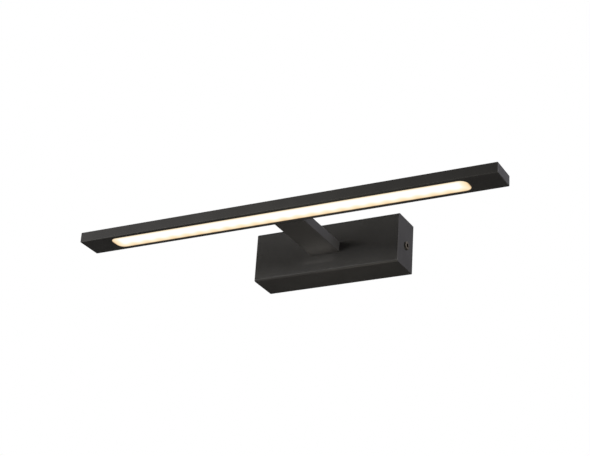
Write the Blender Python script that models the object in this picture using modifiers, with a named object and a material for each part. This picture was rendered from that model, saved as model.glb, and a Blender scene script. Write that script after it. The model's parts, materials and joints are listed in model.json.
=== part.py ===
"""Wall-mounted picture light: a slim LED bar on a flat arm, held by a rectangular wall box.

Metres, +Z up. The origin is on the wall, behind the middle of the wall box. +Y points into the wall,
so the arm and the light bar stand out towards -Y, and +X runs along the bar.
"""

import math

import bmesh
import bpy
from mathutils import Matrix, Vector

MM = 0.001
GAP = 0.3 * MM  # left between pieces that touch on the real object
PAST = 5.0 * MM  # how far a cutter runs past the piece it cuts
SHEET = 1.5 * MM  # steel of the cover, the wall bracket and the arm's wall

# Wall box
BOX_WIDTH = 142.8 * MM
BOX_HEIGHT = 46.7 * MM
BOX_DEPTH = 32.0 * MM
LONG_FOLD_RADIUS = 2.1 * MM  # outer radius of the cover's two long front folds
END_FOLD_RADIUS = 0.5 * MM  # and of its two upright ones

# Light bar and arm: one flat T, with the same thickness and level
BAR_LENGTH = 400.0 * MM
BAR_DEPTH = 26.9 * MM
BAR_THICKNESS = 9.65 * MM
PROJECTION = 128.8 * MM  # from the wall to the bar's front face
ARM_WIDTH = 28.3 * MM
ARM_LEVEL = -1.5 * MM  # height of the T's mid plane
PASSAGE_LEVEL = -1.0 * MM  # height of the wires and the screws inside the arm
PASSAGE_RADIUS = 2.6 * MM  # hole for the two LED wires
ARM_BLOCK_LENGTH = 14.0 * MM
BACKING_PLATE = Vector((36.0, 2.0, 18.0)) * MM
EDGE_RADIUS = 0.7 * MM

# Light window in the bar's underside
WINDOW_LENGTH = 342.6 * MM
WINDOW_WIDTH = 19.1 * MM
WINDOW_CORNER = 7.4 * MM  # radius of the window's corners
WINDOW_RECESS = 0.4 * MM  # lip to the diffuser's face
DIFFUSER_THICKNESS = 2.0 * MM
POCKET_WIDTH = 16.5 * MM
BAR_ROOF = 1.8 * MM
LED_BOARD_SIZE = Vector((330.0, 11.0, 1.0)) * MM
LED_COUNT = 24
LED_PITCH = 13.9 * MM
LED_ROW_SHIFT = -1.8 * MM  # of the board and its LEDs along the bar
LED_SIZE = Vector((2.8, 3.5, 0.7)) * MM

# Cover screws: M4 with a low round head, one at each end of the box
COVER_SCREW_BEHIND_FRONT = 16.6 * MM
COVER_SCREW_LEVEL = ARM_LEVEL - 0.7 * MM
COVER_SCREW_RADIUS = 1.95 * MM
COVER_SCREW_LENGTH = 8.0 * MM
COVER_HEAD_RADIUS = 3.8 * MM
COVER_HEAD_HEIGHT = 1.5 * MM
COVER_HEAD_EDGE = 0.9 * MM
COVER_SOCKET = Vector((1.44, 1.4)) * MM  # a 2.5 mm hexagon, as the radius to its corners and its depth
WASHER_RADIUS = 3.3 * MM
WASHER_THICKNESS = 0.4 * MM
CLEAR_M4 = 2.2 * MM
NUT_RADIUS = 4.04 * MM  # to the corners of a 7 mm nut
NUT_HEIGHT = 3.2 * MM
PLAY = 0.1 * MM  # on each side of a washer

# Small screws: two at each end of the arm
SMALL_SCREW_SPACING = 16.4 * MM
SMALL_SCREW_LENGTH = 13.0 * MM
SMALL_SCREW_RADIUS = 1.2 * MM
SMALL_HEAD_RADIUS = 2.2 * MM
SMALL_HEAD_HEIGHT = 1.5 * MM
SMALL_SOCKET = Vector((0.87, 1.0)) * MM  # a 1.5 mm hexagon
CLEAR_SMALL = 1.5 * MM

# Wall bracket
BRACKET_HEIGHT = 42.0 * MM
FLANGE_HEIGHT = 24.0 * MM
FLANGE_DEPTH = 20.0 * MM
WALL_SLOT_SPACING = 110.0 * MM
WALL_SLOT_WIDTH = 5.2 * MM
WALL_SLOT_LENGTH = 11.0 * MM
CABLE_HOLE = Vector((35.0, 0.0, 10.0)) * MM
CABLE_HOLE_RADIUS = 7.0 * MM
CABLE_BORE_RADIUS = 4.6 * MM
GROMMET_RADIUS = 9.0 * MM
GROMMET_FLANGE = 1.6 * MM
SLEEVE_RADIUS = 2.3 * MM  # of the small grommet where the wires enter the bar
SLEEVE_BORE = Vector((3.4, 0.0, 2.2)) * MM

# Driver, terminal block and earth point on the bracket
DRIVER_SIZE = Vector((64.0, 18.0, 35.0)) * MM
DRIVER_CENTRE_X = -11.0 * MM
DRIVER_WALL = 1.2 * MM
DRIVER_LID_DEPTH = 3.0 * MM
DRIVER_NOTCH = 3.0 * MM  # half width of the wire exits, and their depth in the base
CIRCUIT_STANDOFF = 2.2 * MM
CIRCUIT_THICKNESS = 1.6 * MM
TRANSFORMER_SIZE = Vector((18.0, 9.5, 16.0)) * MM
CAPACITOR_RADIUS = 4.0 * MM
CAPACITOR_LENGTH = 8.5 * MM
CAPACITOR_INSET = Vector((9.0, 0.0, -9.0)) * MM  # from the middle of the driver's left wall
TERMINAL_CENTRE = Vector((36.0, -9.8, -11.5)) * MM
TERMINAL_SIZE = Vector((25.0, 16.0, 13.0)) * MM
TERMINAL_POLES = 3
TERMINAL_PITCH = 7.5 * MM
TERMINAL_HOLE_RADIUS = 1.7 * MM
SUPPLY_EXIT_Z = 2.0 * MM  # height of the supply wires where they leave the driver
EARTH_POINT = Vector((56.0, 0.0, -14.5)) * MM
EARTH_TAG_RADIUS = 3.8 * MM
EARTH_TAG_THICKNESS = 0.8 * MM
EARTH_HEAD_RADIUS = 3.6 * MM
EARTH_HEAD_HEIGHT = 2.0 * MM
EARTH_SCREW_LENGTH = 2.2 * MM
WIRE_RADIUS = 0.8 * MM
WIRE_SPACING = 2.6 * MM

BAR_FRONT = -PROJECTION
BAR_REAR = BAR_FRONT + BAR_DEPTH
BAR_MIDDLE = (BAR_FRONT + BAR_REAR) / 2
BAR_BOTTOM = ARM_LEVEL - BAR_THICKNESS / 2
BAR_TOP = ARM_LEVEL + BAR_THICKNESS / 2
COVER_FRONT = -BOX_DEPTH
COVER_INSIDE = COVER_FRONT + SHEET
BRACKET_FRONT = -SHEET
FLANGE_FACE = BOX_WIDTH / 2 - SHEET - GAP  # outer face of a bracket flange
COVER_SCREW_Y = COVER_FRONT + COVER_SCREW_BEHIND_FRONT
SIDES = (("left", -1), ("right", 1))


# ---------------------------------------------------------------- helpers

def clear_scene():
    for obj in list(bpy.data.objects):
        bpy.data.objects.remove(obj, do_unlink=True)


def new_collection(name, hidden=False):
    collection = bpy.data.collections.new(name)
    collection.hide_render = hidden
    bpy.context.scene.collection.children.link(collection)
    return collection


def material(name, color, roughness, metallic=0.0, emission=0.0):
    """The Principled material of this name, made on its first use."""
    if name in bpy.data.materials:
        return bpy.data.materials[name]
    made = bpy.data.materials.new(name)
    made.use_nodes = True
    shader = made.node_tree.nodes["Principled BSDF"]
    shader.inputs["Base Color"].default_value = (*color, 1.0)
    shader.inputs["Roughness"].default_value = roughness
    shader.inputs["Metallic"].default_value = metallic
    if emission:
        shader.inputs["Emission Color"].default_value = (*color, 1.0)
        shader.inputs["Emission Strength"].default_value = emission
    return made


def black_coat():
    return material("black_powder_coat", (0.05, 0.05, 0.052), 0.55)


def zinc():
    return material("zinc_plated_steel", (0.62, 0.62, 0.60), 0.35, 1.0)


def link_mesh(name, mesh, finish=None, collection=None):
    obj = bpy.data.objects.new(name, mesh)
    (collection or parts).objects.link(obj)
    if finish:
        mesh.materials.clear()
        mesh.materials.append(finish)
    return obj


def mesh_from(bm, name):
    bmesh.ops.recalc_face_normals(bm, faces=bm.faces)
    mesh = bpy.data.meshes.new(name)
    bm.to_mesh(mesh)
    bm.free()
    return mesh


def block(name, low, high, finish=None, collection=None):
    """A box between two corners."""
    low, high = Vector(low), Vector(high)
    bm = bmesh.new()
    bmesh.ops.create_cube(bm, size=1.0)
    bmesh.ops.scale(bm, vec=high - low, verts=bm.verts)
    bmesh.ops.translate(bm, vec=(low + high) / 2, verts=bm.verts)
    return link_mesh(name, mesh_from(bm, name), finish, collection)


def cylinder(name, start, end, radius, finish=None, collection=None, sides=20, turn=0.0):
    """A cylinder, or a prism with few sides, from one end point to the other."""
    start, end = Vector(start), Vector(end)
    bm = bmesh.new()
    bmesh.ops.create_cone(
        bm, cap_ends=True, segments=sides, radius1=radius, radius2=radius, depth=(end - start).length
    )
    along = (end - start).to_track_quat("Z", "Y").to_matrix().to_4x4()
    spin = Matrix.Rotation(turn, 4, "Z")
    bmesh.ops.transform(bm, matrix=Matrix.Translation((start + end) / 2) @ along @ spin, verts=bm.verts)
    return link_mesh(name, mesh_from(bm, name), finish, collection)


def window_plate(name, smaller, low_z, high_z, finish=None, collection=None, steps=8):
    """A flat plate with the window's rounded outline, this much smaller in length and width."""
    curve = bpy.data.curves.new(name, "CURVE")
    curve.dimensions = "2D"
    curve.fill_mode = "BOTH"
    curve.extrude = (high_z - low_z) / 2
    radius = WINDOW_CORNER - smaller / 2
    corner_x = (WINDOW_LENGTH - smaller) / 2 - radius
    corner_y = (WINDOW_WIDTH - smaller) / 2 - radius
    outline = []
    for quarter, (side_x, side_y) in enumerate(((1, 1), (-1, 1), (-1, -1), (1, -1))):
        for step in range(steps + 1):
            angle = math.radians(90 * (quarter + step / steps))
            outline.append((
                side_x * corner_x + radius * math.cos(angle),
                side_y * corner_y + radius * math.sin(angle),
            ))
    spline = curve.splines.new("POLY")
    spline.points.add(len(outline) - 1)
    for point, (x, y) in zip(spline.points, outline):
        point.co = (x, y, 0, 1)
    spline.use_cyclic_u = True
    drawn = bpy.data.objects.new(name + "_outline", curve)
    drawn.location = (0, BAR_MIDDLE, (low_z + high_z) / 2)
    return solid_from_curve(drawn, name, finish, collection)


def solid_from_curve(drawn, name, finish=None, collection=None):
    """The curve's closed mesh in place of the curve."""
    bpy.context.scene.collection.objects.link(drawn)
    bpy.context.view_layer.update()
    evaluated = drawn.evaluated_get(bpy.context.evaluated_depsgraph_get())
    mesh = bpy.data.meshes.new_from_object(evaluated)
    mesh.transform(drawn.matrix_world)
    bm = bmesh.new()
    bm.from_mesh(mesh)
    bmesh.ops.remove_doubles(bm, verts=bm.verts, dist=0.001 * MM)
    bmesh.ops.recalc_face_normals(bm, faces=bm.faces)
    bm.to_mesh(mesh)
    bm.free()
    mesh.name = name
    bpy.data.objects.remove(drawn, do_unlink=True)
    return link_mesh(name, mesh, finish, collection)


def wire(name, route, finish):
    """A round wire along a smooth line through the route's points."""
    curve = bpy.data.curves.new(name, "CURVE")
    curve.dimensions = "3D"
    curve.bevel_depth = WIRE_RADIUS
    curve.bevel_resolution = 1
    curve.use_fill_caps = True
    points = smooth_route([Vector(point) for point in route], 4)
    spline = curve.splines.new("POLY")
    spline.points.add(len(points) - 1)
    for point, place in zip(spline.points, points):
        point.co = (*place, 1)
    curve.materials.append(finish)
    obj = bpy.data.objects.new(name, curve)
    parts.objects.link(obj)
    return obj


def smooth_route(route, steps):
    """Points along a Catmull-Rom line through the route."""
    padded = [2 * route[0] - route[1], *route, 2 * route[-1] - route[-2]]
    points = []
    for a, b, c, d in zip(padded, padded[1:], padded[2:], padded[3:]):
        for step in range(steps):
            t = step / steps
            points.append(0.5 * (
                2 * b + (c - a) * t + (2 * a - 5 * b + 4 * c - d) * t**2 + (3 * b - a - 3 * c + d) * t**3
            ))
    return [*points, route[-1]]


def turned(name, profile, finish, steps=20):
    """A solid turned about its own Z axis from (radius, height) points that run down its outer side."""
    bm = bmesh.new()
    points = [bm.verts.new((radius, 0, height)) for radius, height in profile]
    for first, second in zip(points, points[1:]):
        bm.edges.new((first, second))
    mesh = bpy.data.meshes.new(name)
    bm.to_mesh(mesh)
    bm.free()
    obj = link_mesh(name, mesh, finish)
    screw = obj.modifiers.new("turn", "SCREW")
    screw.steps = steps
    screw.render_steps = steps
    screw.use_merge_vertices = True
    screw.merge_threshold = 0.01 * MM
    return obj


def boolean(obj, other, operation="DIFFERENCE"):
    modifier = obj.modifiers.new(other.name, "BOOLEAN")
    modifier.operation = operation
    modifier.solver = "EXACT"
    modifier.object = other
    other.hide_render = True
    other.display_type = "WIRE"


def round_edges(obj, width, segments, chosen):
    """Rounds the edges of a plain mesh whose two ends satisfy the test."""
    bm = bmesh.new()
    bm.from_mesh(obj.data)
    edges = [edge for edge in bm.edges if chosen(edge.verts[0].co, edge.verts[1].co)]
    bmesh.ops.bevel(bm, geom=edges, offset=width, segments=segments, profile=0.5, affect="EDGES")
    bm.to_mesh(obj.data)
    bm.free()


def along_x(a, b):
    return abs(a.x - b.x) > 1 * MM


def along_y(a, b):
    return abs(a.y - b.y) > 1 * MM


def hole(obj, start, end, radius, sides=20):
    """Drills a round hole through an object."""
    count = len(cutters.objects)
    boolean(obj, cylinder(f"hole_{count}", start, end, radius, collection=cutters, sides=sides))


def hole_for_cover_screw(obj):
    """Drills along X through everything that the two cover screws pass."""
    hole(obj, (-BOX_WIDTH, COVER_SCREW_Y, COVER_SCREW_LEVEL), (BOX_WIDTH, COVER_SCREW_Y, COVER_SCREW_LEVEL),
         CLEAR_M4)


def hole_through_wall(obj, place, radius):
    """Drills along Y through a piece that stands near the wall."""
    depth = Vector((0, BOX_DEPTH, 0))
    hole(obj, place - depth, place + depth, radius)


def pocket(obj, low, high):
    """Cuts a square-cornered pocket out of an object."""
    count = len(cutters.objects)
    boolean(obj, block(f"pocket_{count}", low, high, collection=cutters))


def turned_screw(name, head_radius, head_height, shank_radius, length, socket, finish, edge=0.0):
    """A screw along +Z: the head's seat is at its origin, the head above it and the shank below.

    The socket is a hexagon's radius and depth. The edge rounds the head's rim.
    """
    top = [(0, head_height), (head_radius, head_height)]
    if edge:
        top = [(0, head_height)]
        for step in range(5):
            angle = math.radians(90 * step / 4)
            top.append((
                head_radius - edge + edge * math.sin(angle),
                head_height - edge + edge * math.cos(angle),
            ))
    profile = [*top, (head_radius, 0), (shank_radius, 0), (shank_radius, -length), (0, -length)]
    obj = turned(name, profile, finish)
    radius, depth = socket
    tool = cylinder(
        name + "_socket", (0, 0, head_height - depth), (0, 0, 2 * head_height), radius,
        collection=cutters, sides=6,
    )
    tool.parent = obj
    boolean(obj, tool)
    return obj


def aim(obj, place, direction):
    """Puts an object's origin at a place with its own Z along a direction."""
    obj.location = place
    obj.rotation_euler = Vector(direction).to_track_quat("Z", "Y").to_euler()


# ---------------------------------------------------------------- wall box

def make_wall_bracket():
    """Plate on the wall with a flange at each end that the cover screws pull against."""
    half = FLANGE_FACE
    obj = block("wall_bracket", (-half, -FLANGE_DEPTH, -BRACKET_HEIGHT / 2),
                (half, 0, BRACKET_HEIGHT / 2), zinc())
    pocket(obj, (-half + SHEET, -2 * FLANGE_DEPTH, -BOX_HEIGHT), (half - SHEET, BRACKET_FRONT, BOX_HEIGHT))
    for sign in (-1, 1):
        low, high = sorted((sign * FLANGE_HEIGHT / 2, sign * BOX_HEIGHT))
        pocket(obj, (-BOX_WIDTH, -2 * FLANGE_DEPTH, low), (BOX_WIDTH, BRACKET_FRONT, high))
    hole_for_cover_screw(obj)
    hole_through_wall(obj, CABLE_HOLE, CABLE_HOLE_RADIUS)
    hole_through_wall(obj, EARTH_POINT, CLEAR_M4)
    for _, sign in SIDES:
        wall_slot(obj, sign * WALL_SLOT_SPACING / 2)
    return obj


def wall_slot(bracket, centre_x):
    """An upright round-ended slot for one wall screw."""
    half = (WALL_SLOT_LENGTH - WALL_SLOT_WIDTH) / 2
    radius = WALL_SLOT_WIDTH / 2
    for end in (-half, half):
        hole_through_wall(bracket, Vector((centre_x, 0, end)), radius)
    pocket(bracket, (centre_x - radius, -PAST, -half), (centre_x + radius, PAST, half))


def make_box_cover():
    """Folded steel cover, open at the wall, with its four front edges rounded by the folds."""
    x, z = BOX_WIDTH / 2, BOX_HEIGHT / 2
    obj = block("box_cover", (-x - PAST, COVER_FRONT, -z), (x + PAST, 0, z), black_coat())
    round_edges(obj, LONG_FOLD_RADIUS, 5, lambda a, b: along_x(a, b) and a.y < COVER_INSIDE)
    ends = block("cover_ends", (-x, COVER_FRONT, -z - PAST), (x, PAST, z + PAST), collection=cutters)
    round_edges(ends, END_FOLD_RADIUS, 4, lambda a, b: max(a.y, b.y) < COVER_INSIDE and not along_x(a, b))
    boolean(obj, ends, "INTERSECT")
    pocket(obj, (-x + SHEET, COVER_INSIDE, -z + SHEET), (x - SHEET, PAST, z - SHEET))
    hole_for_cover_screw(obj)
    arm_holes(obj, COVER_FRONT - PAST, COVER_INSIDE + PAST)
    return obj


def make_cable_grommet():
    """Rubber ring in the bracket's cable hole, with a flange in front of the plate."""
    rubber = material("black_rubber", (0.03, 0.03, 0.03), 0.8)
    back = BRACKET_FRONT - GAP
    front = back - GROMMET_FLANGE
    sides = 28
    obj = cylinder("cable_grommet", (CABLE_HOLE.x, front, CABLE_HOLE.z), (CABLE_HOLE.x, back, CABLE_HOLE.z),
                   GROMMET_RADIUS, rubber, sides=sides)
    neck = cylinder("grommet_neck", (CABLE_HOLE.x, (front + back) / 2, CABLE_HOLE.z), CABLE_HOLE,
                    CABLE_HOLE_RADIUS - GAP, collection=cutters, sides=sides)
    boolean(obj, neck, "UNION")
    hole_through_wall(obj, CABLE_HOLE, CABLE_BORE_RADIUS)
    return obj


def make_cover_screws():
    """At each end: button-head screw, earthing washer, and the nut held inside the flange."""
    bronzed = material("bronzed_screw", (0.2, 0.17, 0.13), 0.35, 1.0)
    for side, sign in SIDES:
        out = Vector((sign, 0, 0))
        seat = Vector((sign * BOX_WIDTH / 2, COVER_SCREW_Y, COVER_SCREW_LEVEL))
        washer = turned(f"screw_washer_{side}", [
            (CLEAR_M4, WASHER_THICKNESS), (WASHER_RADIUS, WASHER_THICKNESS),
            (WASHER_RADIUS, 0), (CLEAR_M4, 0), (CLEAR_M4, WASHER_THICKNESS),
        ], zinc())
        aim(washer, seat + PLAY * out, out)
        screw = turned_screw(f"cover_screw_{side}", COVER_HEAD_RADIUS, COVER_HEAD_HEIGHT, COVER_SCREW_RADIUS,
                             COVER_SCREW_LENGTH, COVER_SOCKET, bronzed, COVER_HEAD_EDGE)
        aim(screw, seat + (PLAY + WASHER_THICKNESS + PLAY) * out, out)
        nut_face = Vector((sign * (FLANGE_FACE - SHEET - GAP), COVER_SCREW_Y, COVER_SCREW_LEVEL))
        nut = cylinder(f"flange_nut_{side}", nut_face - NUT_HEIGHT * out, nut_face, NUT_RADIUS, zinc(),
                       sides=6)
        hole_for_cover_screw(nut)


# ---------------------------------------------------------------- gear on the bracket

def make_driver():
    """LED driver: a moulded base and lid round a board with its transformer and capacitor."""
    white = material("driver_plastic", (0.75, 0.75, 0.73), 0.5)
    half = DRIVER_SIZE / 2
    back = BRACKET_FRONT - GAP
    front = back - DRIVER_SIZE.y
    left, right = DRIVER_CENTRE_X - half.x, DRIVER_CENTRE_X + half.x
    rim = front + DRIVER_LID_DEPTH
    base = block("driver_base", (left, rim + GAP, -half.z), (right, back, half.z), white)
    pocket(base, (left + DRIVER_WALL, front, -half.z + DRIVER_WALL),
           (right - DRIVER_WALL, back - DRIVER_WALL, half.z - DRIVER_WALL))
    lid = block("driver_lid", (left, front, -half.z), (right, rim, half.z), white)
    pocket(lid, (left + DRIVER_WALL, front + DRIVER_WALL, -half.z + DRIVER_WALL),
           (right - DRIVER_WALL, rim + MM, half.z - DRIVER_WALL))
    for end_x, height in ((left, 0), (right, SUPPLY_EXIT_Z)):
        pocket(base, (end_x - PAST, front, height - DRIVER_NOTCH),
               (end_x + PAST, rim + GAP + DRIVER_NOTCH, height + DRIVER_NOTCH))
    make_circuit(left, right, back)


def make_circuit(left, right, back):
    """The board inside the driver, whose walls stand at these places, and the two tall parts on it."""
    margin = DRIVER_WALL + GAP
    half_z = DRIVER_SIZE.z / 2 - margin
    board_back = back - DRIVER_WALL - CIRCUIT_STANDOFF
    board_front = board_back - CIRCUIT_THICKNESS
    block("driver_board", (left + margin, board_front, -half_z), (right - margin, board_back, half_z),
          material("circuit_board", (0.05, 0.22, 0.1), 0.5))
    seat = board_front - GAP
    centre = Vector((DRIVER_CENTRE_X, seat - TRANSFORMER_SIZE.y / 2, 0))
    block("driver_transformer", centre - TRANSFORMER_SIZE / 2, centre + TRANSFORMER_SIZE / 2,
          material("transformer_tape", (0.75, 0.6, 0.1), 0.5))
    foot = Vector((left, seat, 0)) + CAPACITOR_INSET
    cylinder("driver_capacitor", foot, foot - Vector((0, CAPACITOR_LENGTH, 0)), CAPACITOR_RADIUS,
             material("capacitor_sleeve", (0.03, 0.03, 0.05), 0.4))


def make_terminal_block():
    """Push-in block that joins the supply to the driver, one pole beside the other."""
    low = TERMINAL_CENTRE - TERMINAL_SIZE / 2
    high = TERMINAL_CENTRE + TERMINAL_SIZE / 2
    obj = block("terminal_block", low, high, material("terminal_plastic", (0.8, 0.8, 0.78), 0.5))
    reach = Vector((0, 0, PAST))
    for pole in range(TERMINAL_POLES):
        x = TERMINAL_CENTRE.x + (pole - (TERMINAL_POLES - 1) / 2) * TERMINAL_PITCH
        for z in (low.z, high.z):
            mouth = Vector((x, TERMINAL_CENTRE.y, z))
            hole(obj, mouth - reach, mouth + reach, TERMINAL_HOLE_RADIUS, sides=12)
    return obj


def make_earth_point():
    """Screw and ring tag that earth the bracket."""
    tag_back = BRACKET_FRONT - GAP
    tag_front = tag_back - EARTH_TAG_THICKNESS
    tag = cylinder("earth_tag", (EARTH_POINT.x, tag_front, EARTH_POINT.z),
                   (EARTH_POINT.x, tag_back, EARTH_POINT.z), EARTH_TAG_RADIUS, zinc())
    hole_through_wall(tag, EARTH_POINT, CLEAR_M4)
    screw = turned_screw("earth_screw", EARTH_HEAD_RADIUS, EARTH_HEAD_HEIGHT, COVER_SCREW_RADIUS,
                         EARTH_SCREW_LENGTH, COVER_SOCKET, material("brass", (0.75, 0.55, 0.2), 0.3, 1.0))
    aim(screw, (EARTH_POINT.x, tag_front - GAP, EARTH_POINT.z), (0, -1, 0))


# ---------------------------------------------------------------- arm

def arm_holes(obj, start_y, end_y):
    """Wire passage in the middle and a screw hole on each side, along Y at the arm's level."""
    hole(obj, (0, start_y, PASSAGE_LEVEL), (0, end_y, PASSAGE_LEVEL), PASSAGE_RADIUS)
    for _, sign in SIDES:
        x = sign * SMALL_SCREW_SPACING / 2
        hole(obj, (x, start_y, PASSAGE_LEVEL), (x, end_y, PASSAGE_LEVEL), CLEAR_SMALL)


def make_arm_tube():
    """Flat rectangular tube from the cover to the bar."""
    obj = block("arm_tube", (-ARM_WIDTH / 2, BAR_REAR + GAP, BAR_BOTTOM),
                (ARM_WIDTH / 2, COVER_FRONT - GAP, BAR_TOP), black_coat())
    round_edges(obj, EDGE_RADIUS, 2, along_y)
    pocket(obj, (-ARM_WIDTH / 2 + SHEET, BAR_REAR - PAST, BAR_BOTTOM + SHEET),
           (ARM_WIDTH / 2 - SHEET, COVER_FRONT + PAST, BAR_TOP - SHEET))
    return obj


def make_arm_block(name, start_y):
    """Solid plug inside one end of the arm tube, which the screws pull on."""
    x = ARM_WIDTH / 2 - SHEET - GAP
    end_y = start_y + ARM_BLOCK_LENGTH
    obj = block(name, (-x, start_y, BAR_BOTTOM + SHEET + GAP), (x, end_y, BAR_TOP - SHEET - GAP),
                material("aluminium", (0.7, 0.7, 0.72), 0.35, 1.0))
    arm_holes(obj, start_y - PAST, end_y + PAST)
    return obj


def make_backing_plate():
    """Plate behind the cover's front that spreads the arm's load."""
    centre = Vector((0, COVER_INSIDE + GAP + BACKING_PLATE.y / 2, PASSAGE_LEVEL))
    obj = block("arm_backing_plate", centre - BACKING_PLATE / 2, centre + BACKING_PLATE / 2, zinc())
    arm_holes(obj, centre.y - PAST, centre.y + PAST)
    return centre.y + BACKING_PLATE.y / 2


def make_arm_screws(group, seat_y, direction):
    """The pair of screws at one end of the arm."""
    for side, sign in SIDES:
        screw = turned_screw(f"{group}_screw_{side}", SMALL_HEAD_RADIUS, SMALL_HEAD_HEIGHT,
                             SMALL_SCREW_RADIUS, SMALL_SCREW_LENGTH, SMALL_SOCKET, zinc())
        aim(screw, (sign * SMALL_SCREW_SPACING / 2, seat_y, PASSAGE_LEVEL), (0, direction, 0))


# ---------------------------------------------------------------- light bar

def make_light_bar():
    """Milled bar with a rounded window that steps in to a narrower pocket for the LED board."""
    x = BAR_LENGTH / 2
    ledge = BAR_BOTTOM + WINDOW_RECESS + DIFFUSER_THICKNESS + GAP
    roof = BAR_TOP - BAR_ROOF
    obj = block("light_bar", (-x, BAR_FRONT, BAR_BOTTOM), (x, BAR_REAR, BAR_TOP), black_coat())
    round_edges(obj, EDGE_RADIUS, 2, along_x)
    boolean(obj, window_plate("window_cut", 0.0, BAR_BOTTOM - MM, ledge, collection=cutters))
    smaller = WINDOW_WIDTH - POCKET_WIDTH
    boolean(obj, window_plate("pocket_cut", smaller, ledge - MM, roof, collection=cutters))
    arm_holes(obj, BAR_MIDDLE, BAR_REAR + PAST)
    return ledge, roof


def make_diffuser(ledge):
    opal = material("opal_diffuser", (1.0, 0.93, 0.8), 0.4, emission=2.0)
    window_plate("diffuser", 2 * GAP, BAR_BOTTOM + WINDOW_RECESS, ledge - GAP, opal)


def make_led_board(roof):
    """Aluminium-backed board along the pocket's roof, with its row of LEDs."""
    half = LED_BOARD_SIZE / 2
    top = roof - GAP
    bottom = top - LED_BOARD_SIZE.z
    block("led_board", (LED_ROW_SHIFT - half.x, BAR_MIDDLE - half.y, bottom),
          (LED_ROW_SHIFT + half.x, BAR_MIDDLE + half.y, top),
          material("led_board_white", (0.85, 0.85, 0.83), 0.4))
    phosphor = material("led_phosphor", (0.95, 0.8, 0.3), 0.4)
    for index in range(LED_COUNT):
        x = LED_ROW_SHIFT + (index - (LED_COUNT - 1) / 2) * LED_PITCH
        centre = Vector((x, BAR_MIDDLE, bottom - GAP - LED_SIZE.z / 2))
        block(f"led_{index + 1:02d}", centre - LED_SIZE / 2, centre + LED_SIZE / 2, phosphor)


def make_wire_grommet(pocket_rear):
    """Rubber sleeve that guards the wires where they enter the bar."""
    start, end = Vector((0, pocket_rear, PASSAGE_LEVEL)), Vector((0, BAR_REAR, PASSAGE_LEVEL))
    obj = cylinder("wire_grommet", start, end, SLEEVE_RADIUS,
                   material("black_rubber", (0.03, 0.03, 0.03), 0.8))
    reach = Vector((0, MM, 0))
    pocket(obj, start - SLEEVE_BORE / 2 - reach, end + SLEEVE_BORE / 2 + reach)


# ---------------------------------------------------------------- wiring

def make_wires():
    """The two LED wires along the arm, and the three wires at the terminal block."""
    driver_left = DRIVER_CENTRE_X - DRIVER_SIZE.x / 2
    driver_right = DRIVER_CENTRE_X + DRIVER_SIZE.x / 2
    driver_front = BRACKET_FRONT - GAP - DRIVER_SIZE.y
    notch_y = driver_front + 5 * MM
    lane_y = (driver_front + COVER_INSIDE) / 2 + 1.5 * MM
    passage = WIRE_RADIUS + 0.05 * MM
    led_wires = (("led_wire_red", -1, (0.6, 0.03, 0.02)), ("led_wire_black", 1, (0.02, 0.02, 0.02)))
    for name, sign, color in led_wires:
        z = sign * WIRE_SPACING / 2
        x = sign * passage
        level = PASSAGE_LEVEL
        wire(name, [
            (driver_left + 6 * MM, notch_y, z), (driver_left - 2 * MM, notch_y, z),
            (driver_left - 5 * MM, notch_y - 3 * MM, z), (driver_left - 2 * MM, lane_y, z),
            (driver_left + 8 * MM, lane_y, z), (-12 * MM, lane_y, z), (x - 4 * MM, lane_y - MM, z),
            (x, COVER_INSIDE + 2 * MM, level), (x, COVER_FRONT, level),
            (x, COVER_FRONT - 20 * MM, level), (x, BAR_REAR + 20 * MM, level), (x, BAR_REAR, level),
            (x, BAR_MIDDLE + POCKET_WIDTH / 2 - MM, level),
        ], material(name, color, 0.4))
    top = TERMINAL_CENTRE.z + TERMINAL_SIZE.z / 2
    pole_y = TERMINAL_CENTRE.y
    supply_wires = (("live_wire", (0.25, 0.1, 0.04)), ("neutral_wire", (0.05, 0.12, 0.5)))
    for index, (name, color) in enumerate(supply_wires):
        pole_x = TERMINAL_CENTRE.x - TERMINAL_PITCH * (1 - index)
        z = SUPPLY_EXIT_Z + (index - 0.5) * WIRE_SPACING
        wire(name, [
            (driver_right - 6 * MM, notch_y, z), (driver_right + MM, notch_y, z),
            (pole_x - 3 * MM, notch_y + 2 * MM, z), (pole_x, pole_y - 0.5 * MM, top + 4 * MM),
            (pole_x, pole_y, top + MM), (pole_x, pole_y, top - MM), (pole_x, pole_y, top - 3 * MM),
        ], material(name, color, 0.4))
    earth_x = TERMINAL_CENTRE.x + TERMINAL_PITCH
    tag_z = EARTH_POINT.z + EARTH_TAG_RADIUS + GAP + WIRE_RADIUS
    wire("earth_wire", [
        (earth_x, pole_y, top - 3 * MM), (earth_x, pole_y, top - MM), (earth_x, pole_y, top + MM),
        (earth_x + 4 * MM, pole_y, top + 4 * MM),
        (EARTH_POINT.x - 2 * MM, pole_y + MM, top + 2 * MM),
        (EARTH_POINT.x, pole_y + 3 * MM, tag_z + 5 * MM),
        (EARTH_POINT.x, BRACKET_FRONT - GAP - WIRE_RADIUS, tag_z),
    ], material("earth_wire", (0.25, 0.5, 0.05), 0.4))


def shade_round_pieces():
    for obj in parts.objects:
        if obj.type == "MESH":
            obj.data.shade_smooth()
            obj.data.set_sharp_from_angle(angle=math.radians(35))


clear_scene()
parts = new_collection("picture_light")
cutters = new_collection("cutters", hidden=True)

make_wall_bracket()
make_box_cover()
make_cable_grommet()
make_cover_screws()
make_driver()
make_terminal_block()
make_earth_point()

make_arm_tube()
make_arm_block("arm_root_block", COVER_FRONT - GAP - ARM_BLOCK_LENGTH)
make_arm_block("arm_front_block", BAR_REAR + GAP)
plate_back = make_backing_plate()
make_arm_screws("arm", plate_back + GAP, 1)

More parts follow.
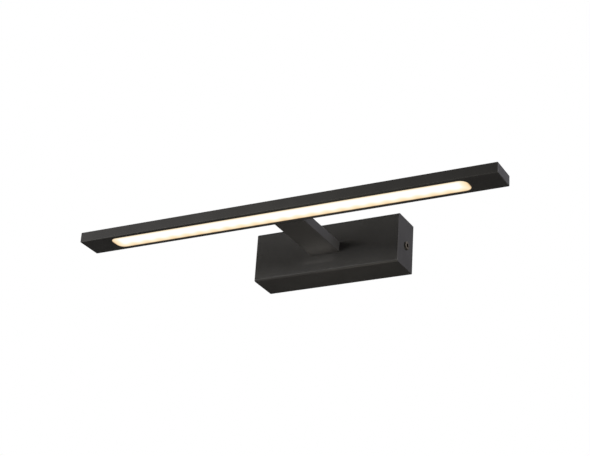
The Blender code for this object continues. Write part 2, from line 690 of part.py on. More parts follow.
ledge_z, roof_z = make_light_bar()
pocket_rear_y = BAR_MIDDLE + POCKET_WIDTH / 2
make_arm_screws("bar", pocket_rear_y - GAP, -1)
make_wire_grommet(pocket_rear_y)
make_diffuser(ledge_z)
make_led_board(roof_z)
make_wires()
shade_round_pieces()
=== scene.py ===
import json
import math

import bmesh
import bpy
from mathutils import Matrix, Vector


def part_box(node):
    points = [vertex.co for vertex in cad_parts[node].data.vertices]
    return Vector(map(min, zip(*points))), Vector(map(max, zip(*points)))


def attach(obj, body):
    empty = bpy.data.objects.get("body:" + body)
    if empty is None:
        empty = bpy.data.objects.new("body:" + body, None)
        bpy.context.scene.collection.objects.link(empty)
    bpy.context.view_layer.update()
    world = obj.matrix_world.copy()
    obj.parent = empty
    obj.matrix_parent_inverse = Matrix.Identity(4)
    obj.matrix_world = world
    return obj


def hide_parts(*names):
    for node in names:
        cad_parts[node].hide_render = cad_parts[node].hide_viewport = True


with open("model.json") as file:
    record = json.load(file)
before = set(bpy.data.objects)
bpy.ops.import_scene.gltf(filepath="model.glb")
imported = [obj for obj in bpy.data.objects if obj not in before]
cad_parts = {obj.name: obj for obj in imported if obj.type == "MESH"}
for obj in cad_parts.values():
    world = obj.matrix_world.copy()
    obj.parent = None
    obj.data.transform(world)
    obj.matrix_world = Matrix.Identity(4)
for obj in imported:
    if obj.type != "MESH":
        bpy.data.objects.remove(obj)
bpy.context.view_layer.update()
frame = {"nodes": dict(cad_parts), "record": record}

MM = 0.001
CLOSE = 0.01 * MM

# Sizes that the CAD boxes don't give
SHEET = 1.5 * MM
LONG_FOLD_RADIUS = 2.1 * MM
END_FOLD_RADIUS = 0.5 * MM
BAR_EDGE = 0.7 * MM
WINDOW_LENGTH = 342.6 * MM
WINDOW_WIDTH = 19.1 * MM
WINDOW_CORNER = 7.4 * MM
POCKET_WIDTH = 16.5 * MM
BAR_ROOF = 1.8 * MM
LED_PITCH = 13.9 * MM
LED_ROW_SHIFT = -1.8 * MM
THREAD_PITCH = 0.7 * MM
THREAD_CREST = 1.95 * MM
THREAD_ROOT = 1.6 * MM
CLEAR_M4 = 2.2 * MM
NUT_BORE_RADIUS = 2.05 * MM
WASHER_RADIUS = 3.3 * MM
WASHER_TEETH = 20
HEAD_RADIUS = 3.8 * MM
HEAD_HEIGHT = 1.2 * MM
HEAD_RIM = 0.7 * MM
SOCKET_CORNER = 1.5 * MM
SOCKET_DEPTH = 0.6 * MM
SHANK_LENGTH = 8.0 * MM
FLANGE_HEIGHT = 24.0 * MM
WALL_SLOT_SPACING = 110.0 * MM
WALL_SLOT_WIDTH = 5.2 * MM
WALL_SLOT_LENGTH = 11.0 * MM
CABLE_HOLE = Vector((35.0, 0.0, 10.0)) * MM
CABLE_HOLE_RADIUS = 7.0 * MM
CABLE_BORE_RADIUS = 4.6 * MM
EARTH_POINT = Vector((56.0, 0.0, -14.5)) * MM
OVERCUT = 5 * MM
FLOOR_HALF = 1.8
FLOOR_LEVEL = -1.5

bar_low, bar_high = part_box("light_bar")
arm_low, arm_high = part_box("arm_tube")
cover_low, cover_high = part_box("box_cover")
bar_middle = (bar_low + bar_high) / 2


# ---------------------------------------------------------------- mesh helpers

def add_piece(name, mesh, finish, body="lamp"):
    obj = bpy.data.objects.new(name, mesh)
    bpy.context.scene.collection.objects.link(obj)
    obj.data.materials.clear()
    obj.data.materials.append(finish)
    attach(obj, body)
    return obj


def mesh_of(bm, name):
    bmesh.ops.recalc_face_normals(bm, faces=bm.faces)
    mesh = bpy.data.meshes.new(name)
    bm.to_mesh(mesh)
    bm.free()
    return mesh


def box_mesh(low, high):
    bm = bmesh.new()
    bmesh.ops.create_cube(bm, size=1.0)
    bmesh.ops.scale(bm, vec=Vector(high) - Vector(low), verts=bm.verts)
    bmesh.ops.translate(bm, vec=(Vector(low) + Vector(high)) / 2, verts=bm.verts)
    return bm


def round_edges(bm, width, segments, chosen=None):
    """Rounds the edges whose two end points satisfy the test, or all of them."""
    edges = [e for e in bm.edges if chosen is None or chosen(e.verts[0].co, e.verts[1].co)]
    bmesh.ops.bevel(bm, geom=edges, offset=width, segments=segments, profile=0.5, affect="EDGES")


def window_bm(smaller, low_z, high_z, steps=24, flare=0.0):
    """A plate with the window's rounded outline. A flare widens its low rim, over the same height."""
    bm = bmesh.new()
    rings = [(low_z, 0.0), (high_z, 0.0)]
    if flare:
        rings = [(low_z - flare, 2 * flare), (low_z + flare, 0.0), (high_z, 0.0)]
    loops = []
    for height, extra in rings:
        grown = extra - smaller
        radius = WINDOW_CORNER + grown / 2
        corner_x = (WINDOW_LENGTH + grown) / 2 - radius
        corner_y = (WINDOW_WIDTH + grown) / 2 - radius
        loop = []
        for quarter, (side_x, side_y) in enumerate(((1, 1), (-1, 1), (-1, -1), (1, -1))):
            for step in range(steps + 1):
                angle = math.radians(90 * (quarter + step / steps))
                x = side_x * corner_x + radius * math.cos(angle)
                y = bar_middle.y + side_y * corner_y + radius * math.sin(angle)
                loop.append(bm.verts.new((x, y, height)))
        loops.append(loop)
    skin(bm, loops)
    return bm


def skin(bm, loops):
    """Faces between matching loops of points, and a cap on the first and the last loop."""
    for lower, upper in zip(loops, loops[1:]):
        for i, vert in enumerate(lower):
            j = (i + 1) % len(lower)
            bm.faces.new((vert, lower[j], upper[j], upper[i]))
    bm.faces.new(list(reversed(loops[0])))
    bm.faces.new(loops[-1])


def turned_bm(profile, steps=64):
    """A solid turned about Z from (radius, height) points. A profile off the axis is a closed loop."""
    bm = bmesh.new()
    verts = [bm.verts.new((r, 0, z)) for r, z in profile]
    pairs = list(zip(verts, verts[1:]))
    if profile[0][0] > 0:
        pairs.append((verts[-1], verts[0]))
    edges = [bm.edges.new(pair) for pair in pairs]
    bmesh.ops.spin(bm, geom=verts + edges, cent=(0, 0, 0), axis=(0, 0, 1), angle=2 * math.pi, steps=steps)
    bmesh.ops.remove_doubles(bm, verts=bm.verts, dist=CLOSE / 4)
    return bm


def arc(centre, radius, first, last, steps=6):
    """(radius, height) points along an arc, in degrees from outwards."""
    angles = [math.radians(first + (last - first) * step / steps) for step in range(steps + 1)]
    return [(centre[0] + radius * math.cos(a), centre[1] + radius * math.sin(a)) for a in angles]


def cylinder_bm(start, end, radius, sides=48):
    start, end = Vector(start), Vector(end)
    bm = bmesh.new()
    bmesh.ops.create_cone(
        bm, cap_ends=True, segments=sides, radius1=radius, radius2=radius, depth=(end - start).length
    )
    along = (end - start).to_track_quat("Z", "Y").to_matrix().to_4x4()
    bmesh.ops.transform(bm, matrix=Matrix.Translation((start + end) / 2) @ along, verts=bm.verts)
    return bm


def cut(obj, tool_bm, operation="DIFFERENCE"):
    """Cuts a closed mesh out of a piece, or joins it, and applies the result."""
    tool = bpy.data.objects.new("tool", mesh_of(tool_bm, "tool"))
    bpy.context.scene.collection.objects.link(tool)
    modifier = obj.modifiers.new("cut", "BOOLEAN")
    modifier.operation = operation
    modifier.solver = "EXACT"
    modifier.object = tool
    bpy.context.view_layer.update()
    evaluated = obj.evaluated_get(bpy.context.evaluated_depsgraph_get())
    mesh = bpy.data.meshes.new_from_object(evaluated)
    obj.modifiers.remove(modifier)
    old = obj.data
    obj.data = mesh
    bpy.data.meshes.remove(old)
    bpy.data.objects.remove(tool, do_unlink=True)


def smooth(obj, angle=32):
    """Smooth shading on the rounded edges, flat on the faces between them."""
    obj.data.shade_smooth()
    obj.data.set_sharp_from_angle(angle=math.radians(angle))
    weighted = obj.modifiers.new("weighted", "WEIGHTED_NORMAL")
    weighted.keep_sharp = True
    weighted.weight = 100


# ---------------------------------------------------------------- material helpers

def new_material(name, roughness, metallic=0.0):
    made = bpy.data.materials.new(name)
    made.use_nodes = True
    tree = made.node_tree
    shader = tree.nodes["Principled BSDF"]
    shader.inputs["Roughness"].default_value = roughness
    shader.inputs["Metallic"].default_value = metallic
    return made, tree, shader


def object_coordinates(tree):
    return tree.nodes.new("ShaderNodeTexCoord").outputs["Object"]


def noise(tree, scale, detail=2.0):
    node = tree.nodes.new("ShaderNodeTexNoise")
    node.inputs["Scale"].default_value = scale
    node.inputs["Detail"].default_value = detail
    tree.links.new(object_coordinates(tree), node.inputs["Vector"])
    return node.outputs["Fac"]


def ramp(tree, value, stops):
    node = tree.nodes.new("ShaderNodeValToRGB")
    elements = node.color_ramp.elements
    while len(elements) < len(stops):
        elements.new(0.5)
    for element, (place, color) in zip(elements, stops):
        element.position = place
        element.color = (*color, 1.0)
    tree.links.new(value, node.inputs["Fac"])
    return node.outputs["Color"]


def math_node(tree, operation, first, second=None, clamp=False):
    node = tree.nodes.new("ShaderNodeMath")
    node.operation = operation
    node.use_clamp = clamp
    for socket, value in zip(node.inputs, (first, second)):
        if value is None:
            continue
        if isinstance(value, (int, float)):
            socket.default_value = value
        else:
            tree.links.new(value, socket)
    return node.outputs[0]


def past(tree, value, limit):
    """How far the value is past the limit, or 0."""
    return math_node(tree, "MAXIMUM", math_node(tree, "SUBTRACT", value, limit), 0)


def length_of(tree, first, second):
    """The length of a flat vector."""
    squares = [math_node(tree, "MULTIPLY", value, value) for value in (first, second)]
    return math_node(tree, "SQRT", math_node(tree, "ADD", *squares))


def smooth_minimum(tree, first, second, distance):
    """The smaller of two values, with the corner between them rounded."""
    node = tree.nodes.new("ShaderNodeMath")
    node.operation = "SMOOTH_MIN"
    node.inputs[2].default_value = distance
    tree.links.new(first, node.inputs[0])
    tree.links.new(second, node.inputs[1])
    return node.outputs[0]


def bump(tree, shader, height, distance):
    node = tree.nodes.new("ShaderNodeBump")
    node.inputs["Distance"].default_value = distance
    node.inputs["Strength"].default_value = 1.0
    tree.links.new(height, node.inputs["Height"])
    tree.links.new(node.outputs["Normal"], shader.inputs["Normal"])


def coated(name, color, roughness, grain, depth):
    """A paint or moulded finish: slight drift of tone, slight drift of gloss, and a fine grain."""
    made, tree, shader = new_material(name, roughness)
    darker = tuple(0.86 * c for c in color)
    lighter = tuple(1.12 * c for c in color)
    tone = ramp(tree, noise(tree, 45, 3), ((0.3, darker), (0.7, lighter)))
    tree.links.new(tone, shader.inputs["Base Color"])
    gloss = tree.nodes.new("ShaderNodeMapRange")
    tree.links.new(noise(tree, 160, 3), gloss.inputs["Value"])
    gloss.inputs["To Min"].default_value = roughness - 0.05
    gloss.inputs["To Max"].default_value = roughness + 0.05
    tree.links.new(gloss.outputs["Result"], shader.inputs["Roughness"])
    bump(tree, shader, noise(tree, grain, 2), depth)
    return made


# ---------------------------------------------------------------- materials

def powder_coat():
    """Fine matt black powder coat: a slight tone drift and the tiny orange peel of the baked powder."""
    return coated("black_powder_coat", (0.034, 0.0335, 0.034), 0.55, 1500, 0.018 * MM)


def brushed_metal(name, color, roughness, grain, stretch):
    """Plated or machined metal with fine streaks. The stretch packs them closer along one axis."""
    made, tree, shader = new_material(name, roughness, 0.7)
    mapping = tree.nodes.new("ShaderNodeMapping")
    mapping.inputs["Scale"].default_value = stretch
    tree.links.new(object_coordinates(tree), mapping.inputs["Vector"])
    streaks = tree.nodes.new("ShaderNodeTexNoise")
    streaks.inputs["Scale"].default_value = grain
    streaks.inputs["Detail"].default_value = 4
    tree.links.new(mapping.outputs["Vector"], streaks.inputs["Vector"])
    tone = ramp(tree, streaks.outputs["Fac"], (
        (0.25, tuple(0.75 * c for c in color)), (0.75, color),
    ))
    tree.links.new(tone, shader.inputs["Base Color"])
    bump(tree, shader, streaks.outputs["Fac"], 0.01 * MM)
    return made


def bronzed_steel():
    """Dull bronzed steel, its tone going by the distance from the screws' axis: painted shade makes it black
    in the socket and round its mouth, and darker towards the head's rim.
    """
    made, tree, shader = new_material("bronzed_steel", 0.65, 1.0)
    low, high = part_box("cover_screw_right")
    middle = (low + high) / 2
    parts = tree.nodes.new("ShaderNodeSeparateXYZ")
    tree.links.new(object_coordinates(tree), parts.inputs["Vector"])
    y = math_node(tree, "SUBTRACT", parts.outputs["Y"], middle.y)
    z = math_node(tree, "SUBTRACT", parts.outputs["Z"], middle.z)
    from_axis = length_of(tree, y, z)
    # Noise that makes the edges of the tone rings ragged, the painted shade rings included.
    wear_and_shade_jitter = math_node(tree, "MULTIPLY", noise(tree, 700, 3), 0.6 * MM)
    ramp_radius = 5 * MM
    level = math_node(tree, "DIVIDE", math_node(tree, "ADD", from_axis, wear_and_shade_jitter), ramp_radius)
    # Painted shade: black in the socket and a little past its mouth, then the head's bronze, painted darker
    # towards the rim as the shade where the head sits on the washer.
    tone = ramp(tree, level, (
        (0.0, (0.0, 0.0, 0.0)), (0.40, (0.001, 0.001, 0.001)), (0.43, (0.12, 0.108, 0.09)),
        (0.6, (0.15, 0.135, 0.113)), (0.85, (0.09, 0.08, 0.067)),
    ))
    tree.links.new(tone, shader.inputs["Base Color"])
    return made


def window_glow():
    """Opal window lit by the LED row: white in the middle, with a warm rim, widest and scalloped behind."""
    made, tree, shader = new_material("opal_diffuser", 0.5)
    shader.inputs["Base Color"].default_value = (0.06, 0.055, 0.05, 1)
    shader.inputs["Specular IOR Level"].default_value = 0.15
    parts = tree.nodes.new("ShaderNodeSeparateXYZ")
    tree.links.new(object_coordinates(tree), parts.inputs["Vector"])
    x, y = parts.outputs["X"], parts.outputs["Y"]
    between_leds = math_node(tree, "SUBTRACT", x, LED_ROW_SHIFT - LED_PITCH / 2)
    from_led = math_node(tree, "MULTIPLY", between_leds, 2 * math.pi / LED_PITCH)
    scallop_depth, edge_width, warm_width = 0.9 * MM, 2 * MM, 8 * MM
    scallop = math_node(tree, "MULTIPLY", math_node(tree, "COSINE", from_led), scallop_depth)
    rear = math_node(tree, "SUBTRACT", bar_middle.y + WINDOW_WIDTH / 2, y)
    grown = math_node(tree, "MULTIPLY", scallop, math_node(tree, "DIVIDE", rear, edge_width, clamp=True))
    behind = math_node(tree, "ADD", rear, grown)
    across = math_node(tree, "ABSOLUTE", math_node(tree, "SUBTRACT", y, bar_middle.y))
    past_x = past(tree, math_node(tree, "ABSOLUTE", x), WINDOW_LENGTH / 2 - WINDOW_CORNER)
    past_y = past(tree, across, WINDOW_WIDTH / 2 - WINDOW_CORNER)
    from_corner = length_of(tree, past_x, past_y)
    rim = math_node(tree, "MULTIPLY", math_node(tree, "SUBTRACT", WINDOW_CORNER, from_corner), 2.2)
    lit_length = WINDOW_LENGTH / 2 - 0.6 * MM
    from_end = math_node(tree, "SUBTRACT", lit_length, math_node(tree, "ABSOLUTE", x))
    end = math_node(tree, "MULTIPLY", from_end, 0.9)
    depth = smooth_minimum(tree, smooth_minimum(tree, behind, rim, 2 * MM), end, 3 * MM)
    level = math_node(tree, "DIVIDE", depth, warm_width, clamp=True)
    glow = ramp(tree, level, (
        (0.0, (0.4, 0.28, 0.16)), (0.03, (0.87, 0.62, 0.36)), (0.1, (0.94, 0.71, 0.43)),
        (0.25, (0.98, 0.79, 0.53)), (0.45, (0.99, 0.86, 0.62)), (0.65, (0.99, 0.93, 0.74)),
        (0.85, (1.0, 1.0, 0.96)), (1.0, (1.0, 1.0, 1.0)),
    ))
    tree.links.new(glow, shader.inputs["Emission Color"])
    shader.inputs["Emission Strength"].default_value = 1.0
    return made


# ---------------------------------------------------------------- light bar

def make_light_bar(finish):
    """Milled bar: every outer edge softened, the window's lip eased, and a narrower pocket inside."""
    bm = box_mesh(bar_low, bar_high)
    round_edges(bm, BAR_EDGE, 5)
    obj = add_piece("bar_body", mesh_of(bm, "bar_body"), finish)
    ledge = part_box("diffuser")[1].z + 0.3 * MM
    cut(obj, window_bm(0.0, bar_low.z, ledge, flare=0.12 * MM))
    cut(obj, window_bm(WINDOW_WIDTH - POCKET_WIDTH, ledge - MM, bar_high.z - BAR_ROOF))
    smooth(obj)
    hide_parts("light_bar")


def make_diffuser(finish):
    low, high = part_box("diffuser")
    bm = window_bm(0.1 * MM, low.z, high.z)
    round_edges(bm, 0.15 * MM, 2, lambda a, b: abs(a.z - low.z) < CLOSE and abs(b.z - low.z) < CLOSE)
    obj = add_piece("window_diffuser", mesh_of(bm, "window_diffuser"), finish)
    smooth(obj)
    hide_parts("diffuser")


# ---------------------------------------------------------------- arm and cover

def make_arm(finish):
    """The tube between the bar and the cover: closed against the bar, with a fine seam at the cover."""
    low = Vector((arm_low.x, bar_high.y - 0.05 * MM, arm_low.z))
    high = arm_high
    bm = box_mesh(low, high)
    round_edges(bm, BAR_EDGE, 5, lambda a, b: abs(a.y - b.y) > MM)
    obj = add_piece("arm_body", mesh_of(bm, "arm_body"), finish)
    hollow = box_mesh((low.x + SHEET, low.y - MM, low.z + SHEET),
                      (high.x - SHEET, high.y + MM, high.z - SHEET))
    cut(obj, hollow)
    smooth(obj)
    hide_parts("arm_tube")


def cut_screw_holes(obj):
    """Holes for the cover screws, through both ends."""
    low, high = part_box("cover_screw_right")
    middle = (low + high) / 2
    reach = 0.1
    cut(obj, cylinder_bm((-reach, middle.y, middle.z), (reach, middle.y, middle.z), CLEAR_M4))


def make_cover(finish):
    """Folded cover: a larger radius on the two long front folds than on the two upright ones."""
    front = cover_low.y
    beyond = Vector((OVERCUT, 0, 0))
    bm = box_mesh(cover_low - beyond, cover_high + beyond)
    round_edges(bm, LONG_FOLD_RADIUS, 12, lambda a, b: abs(a.x - b.x) > MM and max(a.y, b.y) < front + CLOSE)
    obj = add_piece("cover_shell", mesh_of(bm, "cover_shell"), finish)
    above = Vector((0, 0, OVERCUT))
    ends = box_mesh(cover_low - above, cover_high + above + Vector((0, OVERCUT, 0)))
    round_edges(ends, END_FOLD_RADIUS, 10, lambda a, b: abs(a.z - b.z) > MM and max(a.y, b.y) < front + CLOSE)
    cut(obj, ends, "INTERSECT")
    inside = box_mesh(
        (cover_low.x + SHEET, front + SHEET, cover_low.z + SHEET),
        (cover_high.x - SHEET, cover_high.y + OVERCUT, cover_high.z - SHEET),
    )
    cut(obj, inside)
    cut_screw_holes(obj)
    smooth(obj)
    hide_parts("box_cover")


# ---------------------------------------------------------------- cover screws

def screw_head_bm():
    """A flat screw head with a rounded rim, and a stub below it, along +Z with the seat at the origin."""
    chamfer, stub, stub_end = 0.1 * MM, 1.7 * MM, -1.1 * MM
    rim = arc((HEAD_RADIUS - HEAD_RIM, HEAD_HEIGHT - HEAD_RIM), HEAD_RIM, 90, 0, 8)
    foot = [(HEAD_RADIUS, chamfer), (HEAD_RADIUS - chamfer, 0.0),
            (stub, 0.0), (stub, stub_end), (0.0, stub_end)]
    return turned_bm([(0.0, HEAD_HEIGHT)] + rim + foot)


def thread_bm(top, bottom, around=40, along=8):
    """A closed shank whose surface rises and falls along a helix, and runs out at both ends."""
    runout = 0.8 * MM
    bm = bmesh.new()
    rows = int((top - bottom) / THREAD_PITCH * along)
    rings = []
    for row in range(rows + 1):
        z = top + (bottom - top) * row / rows
        taper = min(1.0, (z - bottom) / runout, (top - z) / runout)
        ring = []
        for step in range(around):
            angle = 2 * math.pi * step / around
            phase = (z / THREAD_PITCH - angle / (2 * math.pi)) % 1.0
            ridge = max(0.0, 1 - abs(phase - 0.5) * 2.2)
            r = THREAD_ROOT + (THREAD_CREST - THREAD_ROOT) * ridge * max(0.0, taper)
            ring.append(bm.verts.new((r * math.cos(angle), r * math.sin(angle), z)))
        rings.append(ring)
    for upper, lower in zip(rings, rings[1:]):
        for i in range(around):
            j = (i + 1) % around
            bm.faces.new((upper[i], lower[i], lower[j], upper[j]))
    bm.faces.new(rings[0])
    bm.faces.new(list(reversed(rings[-1])))
    return bm


def make_cover_screw(side, sign, finish):
    """Button-head screw: a shallow rounded head with a hexagon socket, and a threaded shank."""
    low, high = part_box(f"cover_screw_{side}")
    obj = add_piece(f"button_screw_{side}", mesh_of(screw_head_bm(), "button_screw"), finish, f"screw_{side}")
    cut(obj, cylinder_bm((0, 0, -SOCKET_DEPTH), (0, 0, 2 * HEAD_HEIGHT), SOCKET_CORNER, sides=6))
    cut(obj, thread_bm(-0.9 * MM, -SHANK_LENGTH), "UNION")
    seat = inner_end(sign, low, high) + sign * SHANK_LENGTH
    obj.data.transform(along_x(sign, seat, (low + high) / 2))
    smooth(obj, 40)
    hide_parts(f"cover_screw_{side}")


def inner_end(sign, low, high):
    """The end of a box that is nearer the middle of the lamp."""
    return low.x if sign > 0 else high.x


def along_x(sign, x, middle):
    """Places a piece turned about Z so that its +Z points out of the box's end."""
    return Matrix.Translation((x, middle.y, middle.z)) @ Matrix.Rotation(sign * math.pi / 2, 4, "Y")


def make_washer(side, sign, finish):
    """Serrated earthing washer: radial teeth on both faces."""
    low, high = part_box(f"screw_washer_{side}")
    thick, steps_per_tooth = high.x - low.x, 6
    steps = WASHER_TEETH * steps_per_tooth
    bm = bmesh.new()
    loops = []
    for radius, face in ((CLEAR_M4, 0), (WASHER_RADIUS, 0), (WASHER_RADIUS, 1), (CLEAR_M4, 1)):
        loop = []
        for step in range(steps):
            angle = 2 * math.pi * step / steps
            sink = 0.3 * thick * abs((step % steps_per_tooth) / steps_per_tooth - 0.5)
            height = thick - sink if face else sink
            loop.append(bm.verts.new((radius * math.cos(angle), radius * math.sin(angle), height)))
        loops.append(loop)
    for first, second in zip(loops, loops[1:] + loops[:1]):
        for i, vert in enumerate(first):
            j = (i + 1) % len(first)
            bm.faces.new((vert, first[j], second[j], second[i]))
    obj = add_piece(f"serrated_washer_{side}", mesh_of(bm, "serrated_washer"), finish, f"washer_{side}")
    obj.data.transform(along_x(sign, inner_end(sign, low, high), (low + high) / 2))
    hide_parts(f"screw_washer_{side}")


def make_nut(side, sign, finish):
    """M4 nut: hexagon with its corners turned off at both faces, and a countersunk bore."""
    low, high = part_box(f"flange_nut_{side}")
    height, corner = high.x - low.x, (high.z - low.z) / 2
    blank = cylinder_bm((0, 0, 0), (0, 0, height), corner, 6)
    obj = add_piece(f"hex_nut_{side}", mesh_of(blank, "hex_nut"), finish)
    cone, sunk = 0.86 * corner - 1.7 * MM, NUT_BORE_RADIUS + 1.3 * MM
    barrel = turned_bm([(0.0, height + MM), (cone, height + MM), (corner + MM, height - 1.5 * MM),
                        (corner + MM, 1.5 * MM), (cone, -MM), (0.0, -MM)])
    cut(obj, barrel, "INTERSECT")
    bore = turned_bm([(0.0, height + MM), (sunk, height + MM), (NUT_BORE_RADIUS, height - 0.3 * MM),
                      (NUT_BORE_RADIUS, 0.3 * MM), (sunk, -MM), (0.0, -MM)])
    cut(obj, bore)
    turn = math.radians(30) if high.y - low.y > high.z - low.z else 0
    place = along_x(sign, inner_end(sign, low, high), (low + high) / 2)
    obj.data.transform(place @ Matrix.Rotation(turn, 4, "Z"))
    smooth(obj)
    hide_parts(f"flange_nut_{side}")


# ---------------------------------------------------------------- wall bracket

def make_bracket(finish):
    """Pressed steel bracket: bent flanges with rounded corners, round-ended slots and drilled holes."""
    low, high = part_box("wall_bracket")
    bm = box_mesh(low, high)
    round_edges(bm, 2.0 * MM, 8, lambda a, b: abs(a.z - b.z) > MM and min(a.y, b.y) > high.y - CLOSE)
    obj = add_piece("bracket_channel", mesh_of(bm, "bracket_channel"), finish)
    plate = high.y - SHEET
    inside = box_mesh((low.x + SHEET, low.y - OVERCUT, low.z - OVERCUT),
                      (high.x - SHEET, plate, high.z + OVERCUT))
    round_edges(inside, 0.6 * MM, 6, lambda a, b: abs(a.z - b.z) > MM and min(a.y, b.y) > plate - CLOSE)
    cut(obj, inside)
    flange = box_mesh((low.x - OVERCUT, low.y, -FLANGE_HEIGHT / 2),
                      (high.x + OVERCUT, high.y + OVERCUT, FLANGE_HEIGHT / 2))
    round_edges(flange, 3.0 * MM, 10, lambda a, b: abs(a.x - b.x) > MM and max(a.y, b.y) < low.y + CLOSE)
    back = box_mesh((low.x - OVERCUT, plate - 0.5 * MM, low.z - OVERCUT), high + Vector((OVERCUT,) * 3))
    keep = bpy.data.objects.new("keep", mesh_of(flange, "keep"))
    bpy.context.scene.collection.objects.link(keep)
    cut(keep, back, "UNION")
    joined = bmesh.new()
    joined.from_mesh(keep.data)
    bpy.data.objects.remove(keep, do_unlink=True)
    cut(obj, joined, "INTERSECT")
    for sign in (-1, 1):
        x = sign * WALL_SLOT_SPACING / 2
        half = (WALL_SLOT_LENGTH - WALL_SLOT_WIDTH) / 2
        slot = box_mesh((x - WALL_SLOT_WIDTH / 2, -3 * MM, -half - WALL_SLOT_WIDTH / 2),
                        (x + WALL_SLOT_WIDTH / 2, 3 * MM, half + WALL_SLOT_WIDTH / 2))
        round_edges(slot, 0.998 * WALL_SLOT_WIDTH / 2, 16, lambda a, b: abs(a.y - b.y) > MM)
        cut(obj, slot)
    for place, radius in ((CABLE_HOLE, CABLE_HOLE_RADIUS), (EARTH_POINT, CLEAR_M4)):
        cut(obj, cylinder_bm((place.x, -OVERCUT, place.z), (place.x, OVERCUT, place.z), radius, 64))
    cut_screw_holes(obj)
    smooth(obj)
    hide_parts("wall_bracket")


def make_grommet(finish):
    """Rubber grommet: a rounded lip in front of the plate and a neck through the hole, with an eased bore."""
    low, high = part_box("cable_grommet")
    lip, length = 1.6 * MM, high.y - low.y
    outer, neck, bore = (high.x - low.x) / 2, CABLE_HOLE_RADIUS - 0.3 * MM, CABLE_BORE_RADIUS
    front_edge, back_edge = 0.5 * MM, 0.4 * MM
    profile = arc((outer - lip / 2, lip / 2), lip / 2, 90, -90, 10)
    profile += arc((bore + front_edge, front_edge), front_edge, 270, 180)
    profile += arc((bore + back_edge, length - back_edge), back_edge, 180, 90)
    profile += arc((neck - back_edge, length - back_edge), back_edge, 90, 0)
    profile += [(neck, lip)]
    obj = add_piece("grommet_ring", mesh_of(turned_bm(profile, 72), "grommet_ring"), finish)
    middle = (low + high) / 2
    place = Matrix.Translation((middle.x, low.y, middle.z))
    obj.data.transform(place @ Matrix.Rotation(-math.pi / 2, 4, "X"))
    smooth(obj)
    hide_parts("cable_grommet")


# ---------------------------------------------------------------- camera, light, floor

def make_camera():
    """The photograph's long-lens view from in front, to the right and below, rolled a little.

    The numbers are rounded from a perspective fit to the lamp's straight edges."""
    azimuth, elevation, roll = math.radians(29.08), math.radians(-24.77), math.radians(-3.98)
    aim = Vector((0, -91.25, -6.87)) * MM
    distance = 1295.7 * MM
    back = Vector((
        math.sin(azimuth) * math.cos(elevation), -math.cos(azimuth) * math.cos(elevation), math.sin(elevation)
    ))
    data = bpy.data.cameras.new("camera")
    data.lens = 91.27
    data.shift_x = 0.0004
    data.sensor_width = 36
    data.clip_end = 20
    camera = bpy.data.objects.new("camera", data)
    bpy.context.scene.collection.objects.link(camera)
    camera.rotation_mode = "QUATERNION"
    camera.location = aim + distance * back
    camera.rotation_quaternion = (
        (-back).to_track_quat("-Z", "Y") @ Matrix.Rotation(-roll, 3, "Z").to_quaternion()
    )
    bpy.context.scene.camera = camera


def area_light(name, place, target, size, power, color):
    data = bpy.data.lights.new(name, "AREA")
    data.shape = "RECTANGLE"
    data.size, data.size_y = size
    data.energy = power
    data.color = color
    obj = bpy.data.objects.new(name, data)
    bpy.context.scene.collection.objects.link(obj)
    obj.visible_camera = False
    obj.location = place
    obj.rotation_euler = (Vector(target) - Vector(place)).to_track_quat("-Z", "Y").to_euler()


def make_world():
    """A white backdrop for the camera that adds no light of its own."""
    world = bpy.data.worlds.new("studio")
    bpy.context.scene.world = world
    world.use_nodes = True
    tree = world.node_tree
    tree.nodes.clear()
    output = tree.nodes.new("ShaderNodeOutputWorld")
    seen = tree.nodes.new("ShaderNodeBackground")
    seen.inputs["Color"].default_value = (1, 1, 1, 1)
    lighting = tree.nodes.new("ShaderNodeBackground")
    lighting.inputs["Strength"].default_value = 0.0
    path = tree.nodes.new("ShaderNodeLightPath")
    mix = tree.nodes.new("ShaderNodeMixShader")
    tree.links.new(path.outputs["Is Camera Ray"], mix.inputs["Fac"])
    tree.links.new(lighting.outputs["Background"], mix.inputs[1])
    tree.links.new(seen.outputs["Background"], mix.inputs[2])
    tree.links.new(mix.outputs["Shader"], output.inputs["Surface"])


def make_lights():
    """Soft lights round the lamp, and two small ones below the arm that stand for what the cover reflects.

    Places and sizes were chosen one by one. Most powers and tints are a least-squares fit to the photograph's
    shading of the dark faces, rounded and partly changed."""
    lamp, arm_end, arm_under = (0, -0.06, 0), (0, -0.045, -0.006), (-0.007, -0.036, -0.0063)
    for light in (
        ("top", (-0.1, 0.7, 2.2), lamp, (1.5, 1.5), 25.0, (1, 0.985, 0.96)),
        ("back", (-0.7, 1.1, 0.8), lamp, (0.8, 0.6), 9.0, (1, 0.99, 0.97)),
        ("left", (-1.1, -0.5, 0.0), lamp, (0.5, 0.5), 3.7, (1, 0.92, 0.76)),
        ("front_left_low", (-0.9, -1.0, -0.35), lamp, (0.4, 0.3), 1.95, (1, 0.99, 0.97)),
        ("front_near", (-0.35, -0.55, 0.0), lamp, (0.2, 0.15), 0.55, (0.88, 0.9, 1)),
        ("front", (-0.2, -0.7, 0.0), lamp, (0.3, 0.2), 0.99, (1, 0.95, 0.83)),
        ("right", (1.2, -0.15, 0.1), lamp, (0.5, 0.5), 10.0, (1, 0.96, 0.91)),
        ("right_back", (0.9, 0.4, 0.6), lamp, (0.5, 0.5), 3.2, (0.85, 0.84, 1)),
        ("below_right", (1.0, -0.6, -1.45), lamp, (0.6, 0.6), 3.0, (1, 0.96, 0.8)),
        ("arm_root", (0, -0.05, -0.16), arm_end, (0.03, 0.03), 0.036, (1, 0.93, 0.76)),
        ("bounce", (-0.007, -0.0345, -0.015), arm_under, (0.03, 0.003), 0.00055, (1, 0.94, 0.88)),
    ):
        area_light(*light)


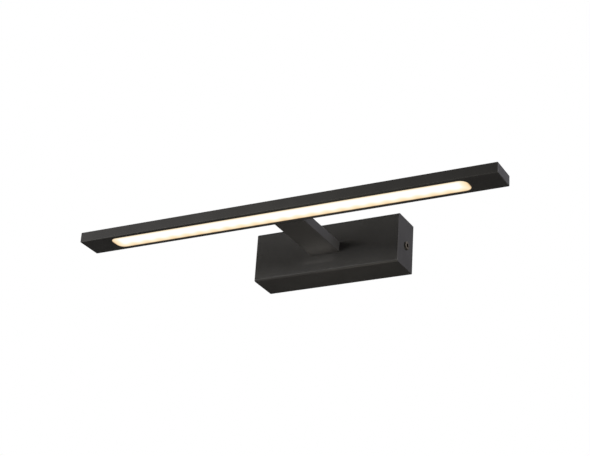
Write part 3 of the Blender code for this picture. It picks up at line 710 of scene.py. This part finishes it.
def make_floor():
    bm = bmesh.new()
    bmesh.ops.create_grid(bm, x_segments=1, y_segments=1, size=FLOOR_HALF)
    mesh = mesh_of(bm, "studio_floor")
    obj = bpy.data.objects.new("studio_floor", mesh)
    obj.location.z = FLOOR_LEVEL
    bpy.context.scene.collection.objects.link(obj)
    made, tree, shader = new_material("pale_floor", 0.9)
    tone = ramp(tree, noise(tree, 2), ((0.3, (0.82, 0.80, 0.78)), (0.7, (0.84, 0.82, 0.80))))
    tree.links.new(tone, shader.inputs["Base Color"])
    mesh.materials.append(made)


def dress_cad_nodes():
    """Procedural finishes for the CAD nodes that are shown as they are."""
    finishes = {
        "zinc_plated_steel": brushed_metal("zinc_plate", (0.62, 0.62, 0.60), 0.5, 260, (1, 1, 6)),
        "aluminium": brushed_metal("machined_aluminium", (0.72, 0.72, 0.74), 0.32, 400, (6, 1, 1)),
        "brass": brushed_metal("brass_screw", (0.75, 0.55, 0.22), 0.3, 500, (1, 1, 1)),
        "black_rubber": coated("moulded_rubber", (0.03, 0.03, 0.03), 0.8, 900, 0.05 * MM),
        "white_plastic": coated("moulded_white", (0.75, 0.75, 0.72), 0.5, 1200, 0.02 * MM),
        "white_solder_mask": coated("white_mask", (0.8, 0.8, 0.78), 0.35, 2500, 0.01 * MM),
        "circuit_board": coated("green_mask", (0.03, 0.2, 0.09), 0.4, 1800, 0.02 * MM),
        "led_phosphor": coated("phosphor", (0.9, 0.7, 0.2), 0.5, 3000, 0.02 * MM),
        "transformer_tape": coated("winding_tape", (0.75, 0.58, 0.1), 0.35, 700, 0.03 * MM),
        "capacitor_sleeve": coated("shrink_sleeve", (0.03, 0.03, 0.05), 0.3, 900, 0.01 * MM),
        "red_insulation": coated("red_wire", (0.55, 0.03, 0.02), 0.4, 1500, 0.01 * MM),
        "black_insulation": coated("black_wire", (0.02, 0.02, 0.02), 0.4, 1500, 0.01 * MM),
        "brown_insulation": coated("brown_wire", (0.2, 0.08, 0.03), 0.4, 1500, 0.01 * MM),
        "blue_insulation": coated("blue_wire", (0.03, 0.1, 0.45), 0.4, 1500, 0.01 * MM),
        "green_insulation": coated("green_wire", (0.3, 0.5, 0.05), 0.4, 1500, 0.01 * MM),
    }
    slots = {entry["node"]: entry["material_slot"] for entry in frame["record"]["subparts"]}
    for node, obj in frame["nodes"].items():
        if slots[node] not in finishes:
            continue
        obj.data.materials.clear()
        obj.data.materials.append(finishes[slots[node]])


# ---------------------------------------------------------------- scene

bpy.context.scene.view_settings.view_transform = "Standard"
make_camera()
make_world()
make_floor()
make_lights()
dress_cad_nodes()

coat = powder_coat()
make_light_bar(coat)
make_diffuser(window_glow())
make_arm(coat)
make_cover(coat)
zinc = brushed_metal("zinc_steel", (0.62, 0.62, 0.60), 0.5, 260, (1, 1, 6))
make_bracket(zinc)
make_grommet(coated("rubber_ring", (0.03, 0.03, 0.03), 0.8, 900, 0.05 * MM))
bronzed = bronzed_steel()
for side, sign in (("left", -1), ("right", 1)):
    make_cover_screw(side, sign, bronzed)
    make_washer(side, sign, zinc)
    make_nut(side, sign, zinc)
